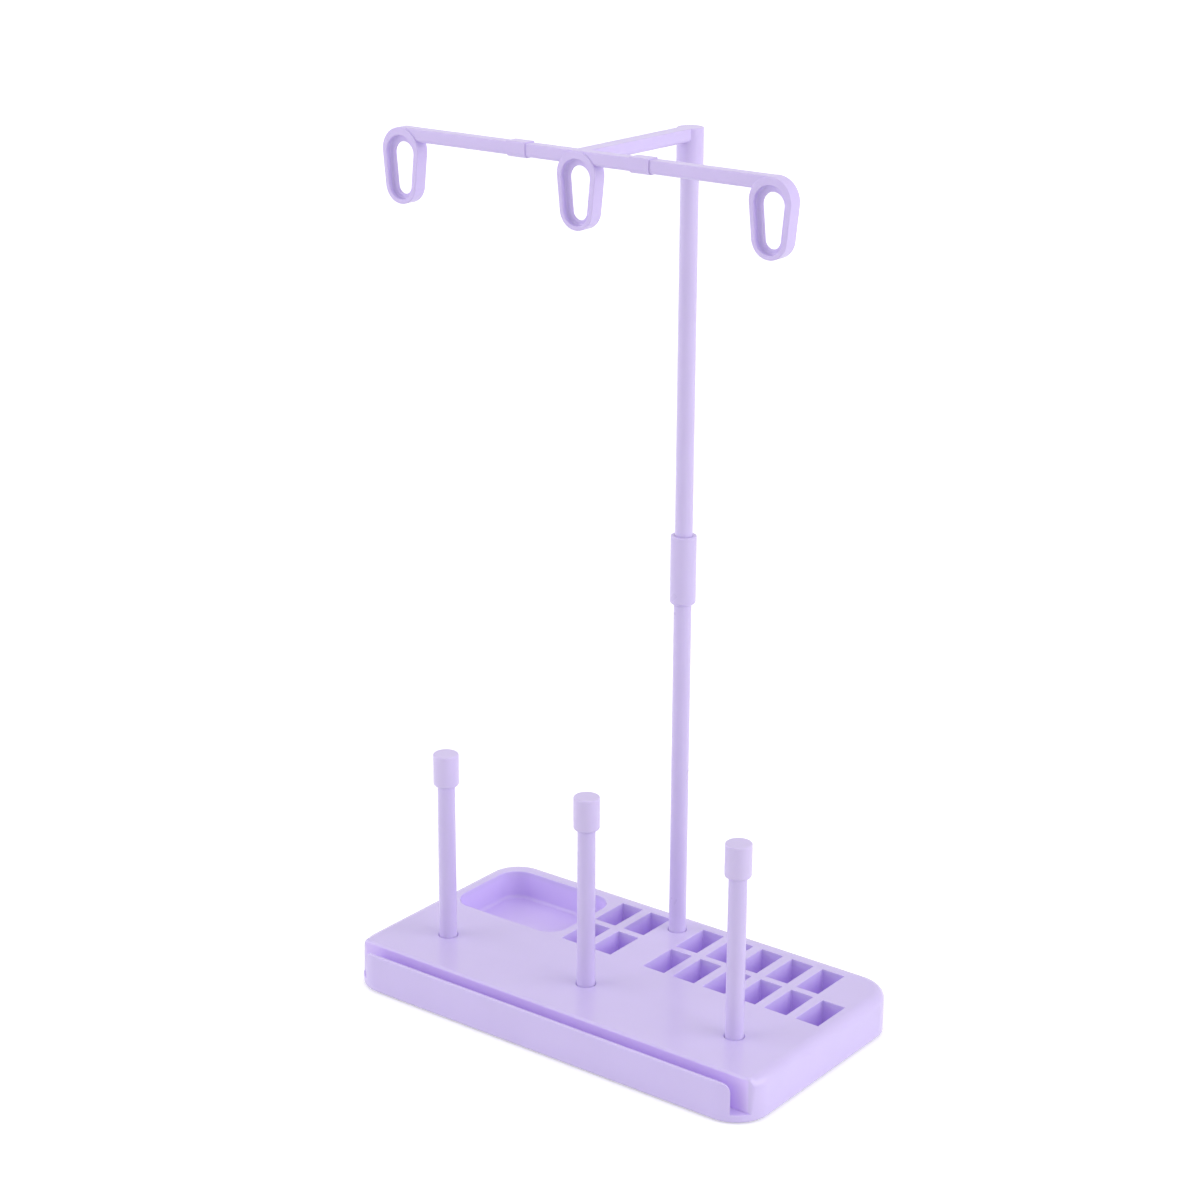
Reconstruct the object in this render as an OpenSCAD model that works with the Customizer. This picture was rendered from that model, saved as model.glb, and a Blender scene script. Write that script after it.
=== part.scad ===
// Tabletop thread rack: a moulded base with bobbin cells, a tray and a front slot,
// three spool pins, and a two-piece pole that carries three thread guide loops.
// Millimetres, +Z up, +Y to the back. The origin is on the table under the middle of the base.

/* [Base] */
// Length of the base, left to right
base_length = 228; // [216:1:260]
// Depth of the base, front to back
base_depth = 123.7; // [118:0.1:140]
// Height of the base without its feet
base_height = 20.5; // [18:0.5:26]
// Radius of the base corners, seen from above
base_corner_radius = 17.2; // [12:0.2:20]
// Rounding of the top outer edge
top_edge_radius = 5; // [2:0.5:7]
// Rounding of the bottom outer edge
bottom_edge_radius = 1; // [0.5:0.1:2]
// Thickness of the outer walls
wall = 2.2; // [1.8:0.1:3]
// Thickness of the deck
deck_thickness = 2.4; // [2:0.1:3.5]
// Thickness of the walls and floors of the pockets, seen from below
pocket_wall = 1.5; // [1.2:0.1:1.8]
// Thickness of the stiffening ribs under the deck
rib_thickness = 1.6; // [1.2:0.1:2.4]
// Space between the lower edge of the ribs and the lower edge of the base
rib_setback = 2.5; // [1:0.5:5]

/* [Bobbin cells] */
// Width of one cell, left to right
cell_width = 12; // [10.5:0.1:13]
// Length of one cell, front to back
cell_length = 22.4; // [20:0.1:23]
// Depth of the cells below the deck
cell_depth = 14.5; // [10:0.5:15]
// Bar of deck between two neighbouring cells of a row
cell_gap = 4.95; // [4:0.05:6]
// Bar of deck between the back row and the front row
row_gap = 3.8; // [3.2:0.1:6]
// Distance from the back edge of the base to the back row
cells_from_back = 8.55; // [7:0.05:10]
// Distance from the pole's centre line to the left block of cells
left_block_start = 8.9; // [8.9:0.1:12]
// Distance from the pole's centre line to the right block of cells
right_block_start = 10.2; // [8.9:0.1:12]
// Least bar of deck between the last cell and the right end of the base
cells_from_end = 6.8; // [6:0.1:9]
// Columns of cells in the left block
left_columns = 2; // [1:1:3]

/* [Tray] */
// Width of the tray, front to back
tray_width = 48.8; // [40:0.1:52]
// Depth of the tray below the deck
tray_depth = 14.5; // [8:0.5:15]
// Radius of the tray corners, seen from above
tray_corner_radius = 11; // [6:0.5:14]
// Rounding between the tray's floor and walls
tray_floor_radius = 4; // [1:0.5:5]
// Distance from the left end of the base to the tray
tray_from_end = 7.8; // [7:0.1:12]
// Distance from the back edge of the base to the tray
tray_from_back = 8.95; // [7:0.05:12]
// Bar of deck between the tray and the left block of cells
tray_gap = 4.3; // [3.4:0.1:6]

/* [Front slot] */
// Width of the slot, front to back
slot_width = 5.7; // [4.5:0.1:7]
// Height of the slot's floor above the lower edge of the base
slot_floor_height = 3.8; // [3:0.1:6]
// Thickness of the slot's floor
slot_floor_thickness = 1.8; // [1.4:0.1:2.8]
// Thickness of the lip in front of the slot
lip_thickness = 1.85; // [1.5:0.05:3]
// How far the lip's top lies below the deck
lip_drop = 2; // [1:0.1:4]
// Rounding of the lip's two upper corners, seen from the front
lip_corner_radius = 4.5; // [2:0.1:6]
// Rounding along the lip's top edges
lip_edge_radius = 0.6; // [0.2:0.1:0.7]
// Rounding of the deck's edge along the slot, and of its two upright ends
slot_edge_radius = 2; // [1:0.1:3]

/* [Feet] */
// Diameter of the anti-slip feet
foot_diameter = 14; // [10:0.5:16]
// Thickness of the feet
foot_thickness = 1.5; // [1.2:0.1:3]
// How far the feet stand out below the base
foot_proud = 0.8; // [0.5:0.1:1.1]
// Distance from the ends of the base to the foot centres
foot_from_end = 13; // [12:0.5:16]
// Distance from the front and back edges of the base to the foot centres
foot_from_edge = 17; // [15:0.5:20]
// Gap between a foot and its seat, all round
foot_clearance = 0.15; // [0.1:0.05:0.4]

/* [Spool pins] */
// Distance from the ends of the base to the outer spool pins
pins_from_end = 31.3; // [26:0.1:39]
// Distance from the front edge of the base to the row of pins
pins_from_front = 36.25; // [28:0.05:42]
// Diameter of a pin where it enters the base
pin_foot_diameter = 8.5; // [7.5:0.1:9.5]
// Diameter of a pin under its cap
pin_top_diameter = 8.2; // [7:0.1:8.4]
// Height of a pin between the deck and its cap
pin_reach = 77; // [60:0.5:100]
// Diameter of the caps
cap_diameter = 12; // [11.4:0.1:16]
// Height of the caps
cap_height = 15.8; // [12:0.1:24]
// Thickness of a cap's closed end
cap_end = 3; // [2:0.1:5]
// Rounding of a cap's upper edge
cap_top_radius = 0.7; // [0.3:0.1:1.2]
// Rounding of a cap's lower edge
cap_mouth_radius = 1.2; // [0.3:0.1:1.4]

/* [Pole] */
// Diameter of both halves of the pole
pole_diameter = 8.2; // [7.4:0.1:9.2]
// Distance from the back edge of the base to the pole's centre
pole_from_back = 15.65; // [14:0.05:18]
// Length of lower pole that shows between the deck and the coupler
lower_pole_reach = 165; // [120:1:220]
// Length of upper pole that shows between the coupler and the head
upper_pole_reach = 165; // [120:1:220]
// Diameter of the coupler
coupler_diameter = 12; // [11.4:0.1:15]
// Height of the coupler
coupler_height = 32.7; // [26:0.1:44]
// Thickness of the stop in the middle of the coupler
coupler_stop = 2; // [1.5:0.1:4]
// Rounding of the coupler's lower edge
coupler_edge_radius = 1.4; // [0.4:0.1:1.4]
// Rounding of the coupler's upper edge
coupler_rim_radius = 0.4; // [0.2:0.1:1]

/* [Sockets] */
// Depth of the pin and pole sockets below the deck
socket_depth = 15; // [12:0.5:15.5]
// Thickness of the socket walls and floors under the deck
socket_wall = 2.4; // [2:0.1:3]
// Width of the chamfer round each socket's mouth
socket_chamfer = 0.6; // [0.3:0.1:1]
// Gap between a rod and its socket, on the radius
rod_clearance = 0.05; // [0.02:0.01:0.1]
// Rounding of the rod ends that sit in the sockets
rod_end_radius = 0.6; // [0.2:0.1:1.2]

/* [Top bracket] */
// Diameter of the head that sits on the pole
head_diameter = 12; // [11.4:0.1:15]
// Height of the head
head_height = 20.5; // [16:0.1:28]
// Thickness of the head's closed end
head_end = 5; // [3:0.5:8]
// Rounding of the head's upper edge
head_edge_radius = 0.6; // [0.2:0.1:1.4]
// Distance from the pole's centre to the centre line of the crossbar
arm_reach = 77.8; // [60:0.05:100]
// Width of the arm between the head and the crossbar
arm_width = 7.5; // [6:0.1:9]
// Height of the arm
arm_height = 6; // [5:0.1:8]
// Rounding of the arm's lower edges
arm_edge_radius = 2; // [1:0.1:2.4]
// Depth of the crossbar, front to back
bar_depth = 5.6; // [5:0.1:8]
// Height of the crossbar
bar_height = 5.8; // [5:0.1:8]
// Rounding of the crossbar's lower edges
bar_edge_radius = 1.7; // [0.8:0.1:2.2]
// Distance from the middle of the crossbar to the mouth of each collar
collar_end = 37; // [30:0.5:50]
// Length of each collar
collar_length = 10; // [8:0.5:16]
// How far the collars stand out round the crossbar
collar_proud = 0.55; // [0.4:0.05:1]
// Side of the square tongues that plug into the collars
tongue_side = 4; // [3.2:0.1:4.2]
// Length of the tongues
tongue_length = 8.5; // [6:0.5:12]
// Gap round a tongue in its collar
tongue_clearance = 0.1; // [0.05:0.01:0.2]

/* [Thread loops] */
// Distance between neighbouring loops
loop_spacing = 96.1; // [80:0.1:120]
// Depth of the loops, front to back
loop_depth = 6.7; // [6.2:0.1:8]
// Radius of a loop's upper end
loop_top_radius = 10.1; // [9:0.1:12]
// Radius of a loop's lower end
loop_bottom_radius = 8.55; // [8:0.05:9]
// Height of a loop
loop_height = 33.3; // [28:0.5:44]
// Radius of the upper end of the recess inside a loop's rim
recess_top_radius = 7.8; // [7:0.1:8.2]
// Radius of the lower end of the recess
recess_bottom_radius = 6.6; // [5.8:0.1:6.8]
// Distance from the top of a loop to the upper centre of its recess
recess_drop = 11.2; // [10.8:0.1:12]
// Distance between the two centres of the recess
recess_run = 13.5; // [9:0.1:14]
// Thickness of the web between the two recesses
loop_web = 1.4; // [1:0.1:2.4]
// Radius of the upper end of the thread hole
hole_top_radius = 5.15; // [4:0.05:5.6]
// Radius of the lower end of the thread hole
hole_bottom_radius = 3.8; // [3:0.05:4.6]
// Distance from the top of a loop to the upper centre of its hole
hole_drop = 11.6; // [11:0.1:13]
// Distance between the two centres of the hole
hole_run = 13.8; // [9:0.1:16]

/* [Hidden] */
$fn = 64;
arc_steps = 32;         // straight steps in each round end of a loop
cut = 1;                // how far cuts run past the surface that they open

base_left = -base_length / 2;
base_front = -base_depth / 2;
base_back = base_depth / 2;
base_bottom = foot_proud;
deck_top = base_bottom + base_height;
deck_underside = deck_top - deck_thickness;

cell_pitch = cell_width + cell_gap;
row_pitch = cell_length + row_gap;
back_row_front = base_back - cells_from_back - cell_length;
front_row_front = back_row_front - row_pitch;
right_block_room = base_length / 2 - cells_from_end - right_block_start + cell_gap;
front_columns = floor(right_block_room / cell_pitch);
back_columns = front_columns - 1;
left_block_left = -left_block_start - left_columns * cell_pitch + cell_gap;

pin_spacing = base_length / 2 - pins_from_end;

tray_left = base_left + tray_from_end;
tray_length = left_block_left - tray_gap - tray_left;
tray_back = base_back - tray_from_back;
tray_middle = [tray_left + tray_length / 2, tray_back - tray_width / 2];

slot_front = base_front + lip_thickness;
slot_back = slot_front + slot_width;
slot_floor = base_bottom + slot_floor_height;
lip_top = deck_top - lip_drop;
corner_sagitta = base_corner_radius - lip_thickness;
lip_half = base_length / 2 - base_corner_radius + sqrt(pow(base_corner_radius, 2) - pow(corner_sagitta, 2));

corner_middle = [base_length / 2 - base_corner_radius, base_front + base_corner_radius];
round_drop = corner_middle.y - slot_back - slot_edge_radius;
round_reach = [
    sqrt(pow(base_corner_radius - slot_edge_radius, 2) - pow(round_drop, 2)), -round_drop
] / (base_corner_radius - slot_edge_radius);
round_middle = corner_middle + (base_corner_radius - slot_edge_radius) * round_reach;

hollow_front = slot_back + pocket_wall;
hollow_back = base_back - wall;
hollow_width = hollow_back - hollow_front;
hollow_length = base_length - 2 * wall;
hollow_middle = (hollow_back + hollow_front) / 2;
hollow_edge_radius = max(top_edge_radius - wall, 0.5);
slot_groove_depth = slot_floor_height - slot_floor_thickness;
rib_bottom = base_bottom + rib_setback;

pins_y = base_front + pins_from_front;
pole_y = base_back - pole_from_back;
socket_floor = deck_top - socket_depth;
cap_bottom = deck_top + pin_reach;
cap_bore_depth = cap_height - cap_end;
pin_bore_radius = pin_foot_diameter / 2 + rod_clearance;
pole_bore_radius = pole_diameter / 2 + rod_clearance;

coupler_bottom = deck_top + lower_pole_reach;
coupler_middle = coupler_bottom + coupler_height / 2;
coupler_top = coupler_bottom + coupler_height;
lower_pole_top = coupler_middle - coupler_stop / 2;
upper_pole_bottom = coupler_middle + coupler_stop / 2;
head_bottom = coupler_top + upper_pole_reach;
head_top = head_bottom + head_height;
upper_pole_top = head_top - head_end;
bar_y = pole_y - arm_reach;
bar_middle = head_top - bar_height / 2;

foot_spots = [
    ["foot_front_left", -1, -1], ["foot_front_right", 1, -1],
    ["foot_back_left", -1, 1], ["foot_back_right", 1, 1]
];
pin_spots = [["left", -1], ["centre", 0], ["right", 1]];

plastic = [0.82, 0.76, 0.93];
pin_plastic = [0.80, 0.73, 0.92];
foot_rubber = [0.86, 0.84, 0.9];

// What a rounding of radius r takes off the corner at [r, r]
module corner_waste(r) {
    difference() {
        square(r + cut);
        circle(r);
    }
}

// Half of a slab's section, from its middle to its outer edge
module slab_section(reach, height, top_r, bottom_r) {
    difference() {
        square([reach, height]);
        translate([reach - top_r, height - top_r])
            corner_waste(top_r);
        translate([reach - bottom_r, bottom_r])
            mirror([0, 1])
                corner_waste(bottom_r);
    }
}

// A slab with round corners and rounded top and bottom edges, standing on z = 0
module rounded_slab(length, width, height, corner_r, top_r, bottom_r) {
    inner_length = length - 2 * corner_r;
    inner_width = width - 2 * corner_r;
    translate([-inner_length / 2, -inner_width / 2, 0])
        cube([inner_length, inner_width, height]);
    for (side = [0, 180]) rotate(side) {
        translate([inner_length / 2, inner_width / 2, 0])
            rotate([90, 0, 0])
                linear_extrude(inner_width)
                    slab_section(corner_r, height, top_r, bottom_r);
        translate([-inner_length / 2, inner_width / 2, 0])
            rotate([90, 0, 90])
                linear_extrude(inner_length)
                    slab_section(corner_r, height, top_r, bottom_r);
        translate([inner_length / 2, inner_width / 2, 0])
            rotate_extrude(angle = 90)
                slab_section(corner_r, height, top_r, bottom_r);
        translate([inner_length / 2, -inner_width / 2, 0])
            rotate(-90)
                rotate_extrude(angle = 90)
                    slab_section(corner_r, height, top_r, bottom_r);
    }
}

// A round rod or cap with rounded ends, standing on z = 0
module turned(diameter, height, bottom_r, top_r) {
    rotate_extrude()
        slab_section(diameter / 2, height, top_r, bottom_r);
}

// Places its child at the near left corner of every bobbin cell
module at_cells() {
    for (column = [0 : left_columns - 1], row = [0, 1])
        translate([left_block_left + column * cell_pitch, front_row_front + row * row_pitch])
            children();
    for (column = [0 : front_columns - 1])
        translate([right_block_start + column * cell_pitch, front_row_front])
            children();
    for (column = [0 : back_columns - 1])
        translate([right_block_start + column * cell_pitch, back_row_front])
            children();
}

module at_feet() {
    for (spot = foot_spots)
        translate([
            spot[1] * (base_length / 2 - foot_from_end),
            spot[2] * (base_depth / 2 - foot_from_edge)
        ])
            children();
}

module at_pins() {
    for (spot = pin_spots)
        translate([spot[1] * pin_spacing, pins_y])
            children();
}

module at_pole() {
    translate([0, pole_y])
        children();
}

// Walls and floor of a pocket that hangs from the deck, by the pocket's own outline
module cell_shell() {
    translate([-pocket_wall, -pocket_wall, deck_top - cell_depth - pocket_wall])
        cube([
            cell_width + 2 * pocket_wall,
            cell_length + 2 * pocket_wall,
            cell_depth + pocket_wall - deck_thickness / 2
        ]);
}

module tray_shell() {
    translate([tray_middle.x, tray_middle.y, deck_top - tray_depth - pocket_wall])
        rounded_slab(
            tray_length + 2 * pocket_wall, tray_width + 2 * pocket_wall,
            tray_depth + pocket_wall - deck_thickness / 2,
            tray_corner_radius + pocket_wall, 0, tray_floor_radius
        );
}

module tray_pocket() {
    translate([tray_middle.x, tray_middle.y, deck_top - tray_depth])
        rounded_slab(
            tray_length, tray_width, tray_depth + cut,
            tray_corner_radius, 0, tray_floor_radius
        );
}

// Tube under the deck that holds a rod
module socket_boss(bore_radius) {
    translate([0, 0, socket_floor - socket_wall])
        cylinder(r = bore_radius + socket_wall, h = socket_depth + socket_wall - deck_thickness / 2);
}

module socket_hole(bore_radius) {
    translate([0, 0, socket_floor])
        cylinder(r = bore_radius, h = socket_depth + cut);
    translate([0, 0, deck_top - socket_chamfer])
        cylinder(r1 = bore_radius, r2 = bore_radius + socket_chamfer, h = socket_chamfer);
}

// Ribs that stiffen the deck between the slot, the pins and the pockets
module deck_ribs() {
    rib_height = deck_underside + deck_thickness / 2 - rib_bottom;
    pocket_front = front_row_front - pocket_wall / 2;
    for (x = [-1.25 : 0.5 : 1.25])
        translate([x * pin_spacing - rib_thickness / 2, hollow_front - cut, rib_bottom])
            cube([rib_thickness, pocket_front - hollow_front + cut, rib_height]);
    translate([-hollow_length / 2 - wall / 2, pins_y - rib_thickness / 2, rib_bottom])
        cube([hollow_length + wall, rib_thickness, rib_height]);
}

module slot_space() {
    translate([base_left - cut, slot_front, slot_floor])
        cube([base_length + 2 * cut, slot_width, base_height]);
    translate([base_left - cut, slot_back, deck_top - slot_edge_radius])
        rotate([90, 0, 90])
            linear_extrude(base_length + 2 * cut)
                translate([slot_edge_radius, 0])
                    mirror([1, 0])
                        corner_waste(slot_edge_radius);
}

// The hollow below the slot's floor, which leaves the outer wall and the slot's back wall standing
module slot_underside() {
    groove_length = base_length - 2 * base_corner_radius;
    translate([-groove_length / 2, base_front + wall, base_bottom - cut])
        cube([groove_length, hollow_front - pocket_wall - base_front - wall, cut + slot_groove_depth]);
}

// The round that the slot's back wall turns through where it meets the end of the base
module slot_end_waste() {
    translate([round_middle.x, round_middle.y, slot_floor])
        linear_extrude(base_height)
            difference() {
                polygon([
                    [0, 0],
                    [0, -slot_edge_radius - cut],
                    [slot_edge_radius + 2 * cut, -slot_edge_radius - cut],
                    (slot_edge_radius + 2 * cut) * round_reach
                ]);
                circle(slot_edge_radius);
            }
}

// What is taken off above the lip, along its top edges and at its two upper corners
module lip_waste() {
    translate([base_left - cut, base_front - cut, lip_top])
        cube([base_length + 2 * cut, lip_thickness + 2 * cut, base_height]);
    for (side = [0, 1])
        translate([0, base_front + lip_thickness / 2, lip_top - lip_edge_radius])
            mirror([0, side])
                translate([base_left - cut, lip_thickness / 2 - lip_edge_radius, 0])
                    rotate([90, 0, 90])
                        linear_extrude(base_length + 2 * cut)
                            corner_waste(lip_edge_radius);
    for (side = [0, 1])
        mirror([side, 0])
            translate([lip_half - lip_corner_radius, slot_front, lip_top - lip_corner_radius])
                rotate([90, 0, 0])
                    linear_extrude(lip_thickness + cut)
                        corner_waste(lip_corner_radius);
}

// The outer shell and its deck, hollow from below
module base_shell() {
    difference() {
        translate([0, 0, base_bottom])
            rounded_slab(
                base_length, base_depth, base_height,
                base_corner_radius, top_edge_radius, bottom_edge_radius
            );
        translate([0, hollow_middle, base_bottom - cut])
            rounded_slab(
                hollow_length, hollow_width, base_height - deck_thickness + cut,
                base_corner_radius - wall, hollow_edge_radius, 0
            );
        slot_underside();
    }
}

module base() {
    foot_seat = foot_diameter / 2 + foot_clearance;
    foot_recess = foot_thickness - foot_proud;
    color(plastic)
    difference() {
        union() {
            base_shell();
            deck_ribs();
            at_cells() cell_shell();
            tray_shell();
            at_pins() socket_boss(pin_bore_radius);
            at_pole() socket_boss(pole_bore_radius);
            at_feet()
                translate([0, 0, base_bottom])
                    cylinder(r = foot_seat + pocket_wall, h = deck_underside + deck_thickness / 2 - base_bottom);
        }
        at_cells()
            translate([0, 0, deck_top - cell_depth])
                cube([cell_width, cell_length, cell_depth + cut]);
        tray_pocket();
        slot_space();
        for (side = [0, 1])
            mirror([side, 0])
                slot_end_waste();
        lip_waste();
        at_pins() socket_hole(pin_bore_radius);
        at_pole() socket_hole(pole_bore_radius);
        at_feet()
            translate([0, 0, base_bottom - cut])
                cylinder(r = foot_seat, h = foot_recess + cut);
    }
}

module foot(x_side, y_side) {
    color(foot_rubber)
    translate([
        x_side * (base_length / 2 - foot_from_end),
        y_side * (base_depth / 2 - foot_from_edge),
        0
    ])
        turned(foot_diameter, foot_thickness, foot_proud / 2, 0);
}

module spool_pin(side) {
    color(pin_plastic)
    translate([side * pin_spacing, pins_y, 0]) {
        translate([0, 0, socket_floor])
            turned(pin_foot_diameter, socket_depth, rod_end_radius, 0);
        translate([0, 0, deck_top])
            cylinder(d1 = pin_foot_diameter, d2 = pin_top_diameter, h = pin_reach);
        translate([0, 0, cap_bottom])
            turned(pin_top_diameter, cap_bore_depth, 0, rod_end_radius);
    }
}

module pin_cap(side) {
    color(plastic)
    translate([side * pin_spacing, pins_y, cap_bottom])
        difference() {
            turned(cap_diameter, cap_height, cap_mouth_radius, cap_top_radius);
            translate([0, 0, -cut])
                cylinder(r = pin_top_diameter / 2 + rod_clearance, h = cap_bore_depth + cut);
        }
}

module lower_pole() {
    color(plastic)
    at_pole()
        translate([0, 0, socket_floor])
            turned(pole_diameter, lower_pole_top - socket_floor, rod_end_radius, rod_end_radius);
}

module pole_coupler() {
    color(plastic)
    at_pole()
        difference() {
            translate([0, 0, coupler_bottom])
                turned(coupler_diameter, coupler_height, coupler_edge_radius, coupler_rim_radius);
            translate([0, 0, coupler_bottom - cut])
                cylinder(r = pole_bore_radius, h = lower_pole_top - coupler_bottom + cut);
            translate([0, 0, upper_pole_bottom])
                cylinder(r = pole_bore_radius, h = coupler_top - upper_pole_bottom + cut);
        }
}

module upper_pole() {
    color(plastic)
    at_pole()
        translate([0, 0, upper_pole_bottom])
            turned(pole_diameter, upper_pole_top - upper_pole_bottom, rod_end_radius, rod_end_radius);
}

// Section of a bar with a flat top and rounded lower edges, its top at y = 0
module bar_section(width, height, edge_r) {
    translate([0, -height])
        difference() {
            translate([-width / 2, 0])
                square([width, height]);
            for (side = [0, 1])
                mirror([side, 0])
                    translate([width / 2 - edge_r, edge_r])
                        mirror([0, 1])
                            corner_waste(edge_r);
        }
}

// A stretch of crossbar from one x to another, swollen all round by a collar's height
module crossbar(from_x, to_x, swell) {
    translate([from_x, bar_y, head_top + swell])
        rotate([90, 0, 90])
            linear_extrude(to_x - from_x)
                bar_section(bar_depth + 2 * swell, bar_height + 2 * swell, bar_edge_radius + swell);
}

// Points along an arc
function arc(centre, r, from, to) = [
    for (i = [0 : arc_steps])
        let (a = from + (to - from) * i / arc_steps)
            centre + r * [cos(a), sin(a)]
];

// Two circles one above the other, joined by their common tangents
module drop_outline(top_radius, bottom_radius, run) {
    lean = asin((top_radius - bottom_radius) / run);
    polygon(concat(
        arc([0, 0], top_radius, -lean, 180 + lean),
        arc([0, -run], bottom_radius, 180 + lean, 360 - lean)
    ));
}

// Stands its child's outline up across the crossbar at x, as deep as given, both ways from the middle
module across_bar(x, drop, depth) {
    translate([x, bar_y + depth / 2, head_top - drop])
        rotate([90, 0, 0])
            linear_extrude(depth)
                children();
}

module loop_body(x) {
    across_bar(x, loop_top_radius, loop_depth)
        drop_outline(loop_top_radius, loop_bottom_radius, loop_height - loop_top_radius - loop_bottom_radius);
}

// The recess on both faces of a loop, and the hole that the thread runs through
module loop_cuts(x) {
    recess = (loop_depth - loop_web) / 2;
    for (face = [-1, 1])
        translate([0, face * (loop_web + recess + cut) / 2, 0])
            across_bar(x, recess_drop, recess + cut)
                drop_outline(recess_top_radius, recess_bottom_radius, recess_run);
    across_bar(x, hole_drop, loop_depth + 2 * cut)
        drop_outline(hole_top_radius, hole_bottom_radius, hole_run);
}

module top_bracket() {
    socket_side = tongue_side + 2 * tongue_clearance;
    color(plastic)
    difference() {
        union() {
            at_pole()
                translate([0, 0, head_bottom])
                    turned(head_diameter, head_height, head_edge_radius, head_edge_radius);
            translate([0, bar_y, head_top])
                rotate([90, 0, 180])
                    linear_extrude(arm_reach)
                        bar_section(arm_width, arm_height, arm_edge_radius);
            crossbar(-collar_end, collar_end, 0);
            for (side = [0, 1])
                mirror([side, 0])
                    crossbar(collar_end - collar_length, collar_end, collar_proud);
            loop_body(0);
        }
        loop_cuts(0);
        at_pole()
            translate([0, 0, head_bottom - cut])
                cylinder(r = pole_bore_radius, h = upper_pole_top - head_bottom + cut);
        for (side = [0, 1])
            mirror([side, 0])
                translate([
                    collar_end - tongue_length - tongue_clearance,
                    bar_y - socket_side / 2,
                    bar_middle - socket_side / 2
                ])
                    cube([tongue_length + tongue_clearance + cut, socket_side, socket_side]);
    }
}

// The right-hand guide arm: tongue, bar and loop
module guide_arm() {
    shoulder = collar_end + tongue_clearance;
    color(plastic)
    difference() {
        union() {
            translate([collar_end - tongue_length, bar_y - tongue_side / 2, bar_middle - tongue_side / 2])
                cube([tongue_length + bar_depth, tongue_side, tongue_side]);
            crossbar(shoulder, loop_spacing, 0);
            loop_body(loop_spacing);
        }
        loop_cuts(loop_spacing);
    }
}

base();
foot(-1, -1);  // foot_front_left
foot(1, -1);  // foot_front_right
foot(-1, 1);  // foot_back_left
foot(1, 1);  // foot_back_right
spool_pin(-1);  // spool_pin_left
spool_pin(0);  // spool_pin_centre
spool_pin(1);  // spool_pin_right
pin_cap(-1);  // pin_cap_left
pin_cap(0);  // pin_cap_centre
pin_cap(1);  // pin_cap_right
lower_pole();
pole_coupler();
upper_pole();
top_bracket();
mirror([1, 0, 0]) guide_arm();  // left_guide_arm
guide_arm();  // right_guide_arm
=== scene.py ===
"""Dresses the tabletop thread rack: base, pads, spool pins, pole, bracket and guide arms."""
import logging
import math
from collections.abc import Callable, Iterator
from contextlib import contextmanager
from dataclasses import dataclass, field
from enum import Enum

import bmesh
import bpy
from mathutils import Matrix, Vector


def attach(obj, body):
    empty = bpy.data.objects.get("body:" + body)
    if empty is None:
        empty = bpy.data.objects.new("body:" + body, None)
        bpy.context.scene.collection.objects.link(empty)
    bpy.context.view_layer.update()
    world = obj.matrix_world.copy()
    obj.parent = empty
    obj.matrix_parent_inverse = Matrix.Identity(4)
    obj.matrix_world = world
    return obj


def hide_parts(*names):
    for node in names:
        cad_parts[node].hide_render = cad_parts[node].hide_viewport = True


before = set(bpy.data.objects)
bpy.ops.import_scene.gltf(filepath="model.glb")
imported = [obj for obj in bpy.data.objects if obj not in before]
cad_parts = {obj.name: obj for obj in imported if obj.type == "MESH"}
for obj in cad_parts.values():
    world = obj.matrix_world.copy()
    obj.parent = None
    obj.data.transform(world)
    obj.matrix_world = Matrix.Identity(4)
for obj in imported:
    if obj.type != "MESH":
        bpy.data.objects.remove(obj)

log = logging.getLogger("thread_rack")

Point = tuple[float, float, float]
Colour = tuple[float, float, float, float]
Noise = tuple[float, float, float]  # the scale, detail and roughness of a noise pattern
Test = Callable[[Vector, Vector], bool]

MM = 0.001  # one millimetre, in metres
RIM_LIFT = 0.012  # how far a tool's rim stands over the deck, so that no faces coincide
RIM_MARGIN = 0.8  # how far a tool reaches past its rim
TOOL_HEIGHT = 3.0  # how far a tool stands over what it cuts
OVERLAP = 1.0  # how far a tool reaches past the side that it opens
BLACK: Colour = (0.0, 0.0, 0.0, 1.0)
WHITE: Colour = (1.0, 1.0, 1.0, 1.0)


class Bend(Enum):
    """Which way the faces beside an edge turn."""

    ANY = "any"
    OUTWARD = "outward"
    INWARD = "inward"


class Join(Enum):
    """How one solid acts on another."""

    ADD = "UNION"
    CUT = "DIFFERENCE"


def clear_bench() -> None:
    """Deselects every object."""
    bpy.ops.object.select_all(action="DESELECT")


def near(value: float, target: float, slack: float = 0.02) -> bool:
    """Says whether a length is at its target."""
    return abs(value - target) < slack


def upright(a: Vector, b: Vector) -> bool:
    """Picks upright edges."""
    return near(a.x, b.x) and near(a.y, b.y)


def level(height: float) -> Test:
    """Gives a test that picks the edges at a height."""
    return lambda a, b: near(a.z, height) and near(b.z, height)


def looks_up(_: Vector, normal: Vector) -> bool:
    """Picks faces that look up."""
    return normal.z > 0.9


def looks_down(_: Vector, normal: Vector) -> bool:
    """Picks faces that look down."""
    return normal.z < -0.9


def pull(rise: float) -> None:
    """Extrudes the picked faces of the open mesh upwards, or downwards where the rise is negative."""
    bpy.ops.mesh.extrude_region_move(TRANSFORM_OT_translate={"value": (0, 0, rise)})


def inset(width: float, depth: float = 0.0) -> None:
    """Leaves a border round the picked faces of the open mesh."""
    bpy.ops.mesh.inset(thickness=width, depth=depth)


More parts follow.
